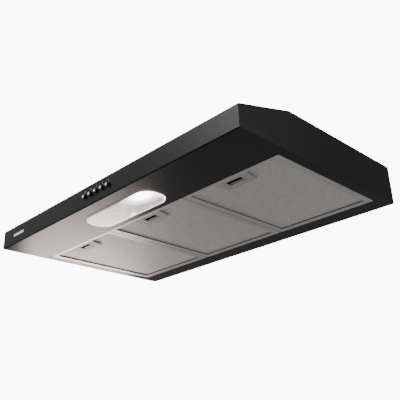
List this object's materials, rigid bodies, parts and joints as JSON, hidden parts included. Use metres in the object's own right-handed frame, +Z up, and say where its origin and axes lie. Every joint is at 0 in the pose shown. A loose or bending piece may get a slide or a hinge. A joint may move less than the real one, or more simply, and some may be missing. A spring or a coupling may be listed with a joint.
{
  "type": "under cabinet range hood",
  "caption": "Slim under-cabinet range hood with sloped black casing, tilting mesh grease filters, lamp lens, push buttons, centrifugal blower and round duct collar with backdraught flaps.",
  "frame": {"origin": "middle of the four mounting slots, on the flat top that goes up against the cabinet", "axes": "+Z up, +X to the right of a cook facing the hood, +Y towards the wall"},
  "size_m": [0.75, 0.473, 0.1352],
  "materials": {
    "black_paint": "black semi-gloss coating over a fine brushed grain",
    "zinc_steel": "zinc plated, dull",
    "steel": "ground",
    "badge_metal": "satin",
    "button_chrome": "polished",
    "filter_aluminium": "mill finish",
    "filter_mesh": "expanded mesh",
    "latch_steel": "plain",
    "black_plastic": "moulded",
    "grey_plastic": "moulded, flame retardant",
    "flap_aluminium": "mill finish",
    "lens_plastic": "white, frosted",
    "reflector_white": "white gloss",
    "white_plastic": "moulded",
    "lamp_brass": "plain",
    "lamp_glass": "frosted",
    "stator_core": "varnished laminations and copper coils",
    "rubber_mounts": "soft",
    "cable_sheath": "smooth sheath"
  },
  "bodies": {
    "hood": {"back_panel": "black_paint", "back_screws": "zinc_steel", "badge": "badge_metal", "blower_housing": "grey_plastic", "blower_inlet_plate": "grey_plastic", "blower_screws": "zinc_steel", "cable_grommet": "black_plastic", "canopy_shell": "black_paint", "capacitor": "black_plastic", "capacitor_clip": "zinc_steel", "collar_screws": "zinc_steel", "control_cable": "cable_sheath", "damper_pins": "zinc_steel", "duct_collar": "zinc_steel", "lamp_bulb": "lamp_glass", "lamp_cap": "lamp_brass", "lamp_holder": "white_plastic", "lamp_reflector": "reflector_white", "left_side_panel": "black_paint", "light_panel": "black_paint", "motor_bushes": "lamp_brass", "motor_cable": "cable_sheath", "motor_can": "zinc_steel", "motor_end_plate": "zinc_steel", "motor_mounts": "rubber_mounts", "motor_screws": "zinc_steel", "motor_stator": "stator_core", "rear_rail": "black_paint", "right_side_panel": "black_paint", "switch_block": "black_plastic", "switch_bracket": "zinc_steel", "wiring_box": "zinc_steel", "wiring_box_cover": "zinc_steel"},
    "wheel": {"impeller": "grey_plastic", "motor_shaft": "steel", "motor_rotor": "steel", "impeller_nut": "zinc_steel"},
    "front_flap": {"front_damper_flap": "flap_aluminium"},
    "rear_flap": {"rear_damper_flap": "flap_aluminium"},
    "lens": {"lamp_lens": "lens_plastic"},
    "light_button": {"light_button": "button_chrome"},
    "off_button": {"off_button": "button_chrome"},
    "low_speed_button": {"low_speed_button": "button_chrome"},
    "medium_speed_button": {"medium_speed_button": "button_chrome"},
    "high_speed_button": {"high_speed_button": "button_chrome"},
    "left_filter": {"left_filter_frame": "filter_aluminium", "left_filter_mesh": "filter_mesh", "left_filter_core": "filter_mesh", "left_latch_spring": "latch_steel"},
    "left_latch": {"left_filter_latch": "latch_steel"},
    "centre_filter": {"centre_filter_frame": "filter_aluminium", "centre_filter_mesh": "filter_mesh", "centre_filter_core": "filter_mesh", "centre_latch_spring": "latch_steel"},
    "centre_latch": {"centre_filter_latch": "latch_steel"},
    "right_filter": {"right_filter_frame": "filter_aluminium", "right_filter_mesh": "filter_mesh", "right_filter_core": "filter_mesh", "right_latch_spring": "latch_steel"},
    "right_latch": {"right_filter_latch": "latch_steel"}
  },
  "joints": [
    {"name": "wheel_spin", "type": "hinge", "parent": "hood", "child": "wheel", "pos_m": [-0.15, -0.012, -0.02], "axis": [0, 0, -1], "continuous": true},
    {"name": "front_flap_swing", "type": "hinge", "parent": "hood", "child": "front_flap", "pos_m": [0, 0.056, 0.013], "axis": [-1, 0, 0], "range_deg": [0, 78]},
    {"name": "rear_flap_swing", "type": "hinge", "parent": "hood", "child": "rear_flap", "pos_m": [0, 0.064, 0.013], "axis": [1, 0, 0], "range_deg": [0, 78]},
    {"name": "lens_swing", "type": "hinge", "parent": "hood", "child": "lens", "pos_m": [0, -0.2615, -0.0845], "axis": [-1, 0, 0], "range_deg": [0, 80]},
    {"name": "light_press", "type": "slide", "parent": "hood", "child": "light_button", "axis": [0, 1, 0], "range_m": [0, 0.003], "stiffness_N_per_m": 400, "springref_m": -0.0015},
    {"name": "off_press", "type": "slide", "parent": "hood", "child": "off_button", "axis": [0, 1, 0], "range_m": [0, 0.003], "stiffness_N_per_m": 400, "springref_m": -0.0015},
    {"name": "low_speed_press", "type": "slide", "parent": "hood", "child": "low_speed_button", "axis": [0, 1, 0], "range_m": [0, 0.003], "stiffness_N_per_m": 400, "springref_m": -0.0015},
    {"name": "medium_speed_press", "type": "slide", "parent": "hood", "child": "medium_speed_button", "axis": [0, 1, 0], "range_m": [0, 0.003], "stiffness_N_per_m": 400, "springref_m": -0.0015},
    {"name": "high_speed_press", "type": "slide", "parent": "hood", "child": "high_speed_button", "axis": [0, 1, 0], "range_m": [0, 0.003], "stiffness_N_per_m": 400, "springref_m": -0.0015},
    {"name": "left_filter_tilt", "type": "hinge", "parent": "hood", "child": "left_filter", "pos_m": [-0.23733, 0.1209, -0.0817], "axis": [1, 0, 0], "range_deg": [0, 60]},
    {"name": "left_latch_slide", "type": "slide", "parent": "left_filter", "child": "left_latch", "axis": [0, 1, 0], "range_m": [0, 0.006], "stiffness_N_per_m": 300, "springref_m": -0.003, "deforming": ["left_latch_spring"]},
    {"name": "centre_filter_tilt", "type": "hinge", "parent": "hood", "child": "centre_filter", "pos_m": [0, 0.1209, -0.0817], "axis": [1, 0, 0], "range_deg": [0, 60]},
    {"name": "centre_latch_slide", "type": "slide", "parent": "centre_filter", "child": "centre_latch", "axis": [0, 1, 0], "range_m": [0, 0.006], "stiffness_N_per_m": 300, "springref_m": -0.003, "deforming": ["centre_latch_spring"]},
    {"name": "right_filter_tilt", "type": "hinge", "parent": "hood", "child": "right_filter", "pos_m": [0.23733, 0.1209, -0.0817], "axis": [1, 0, 0], "range_deg": [0, 60]},
    {"name": "right_latch_slide", "type": "slide", "parent": "right_filter", "child": "right_latch", "axis": [0, 1, 0], "range_m": [0, 0.006], "stiffness_N_per_m": 300, "springref_m": -0.003, "deforming": ["right_latch_spring"]}
  ]
}
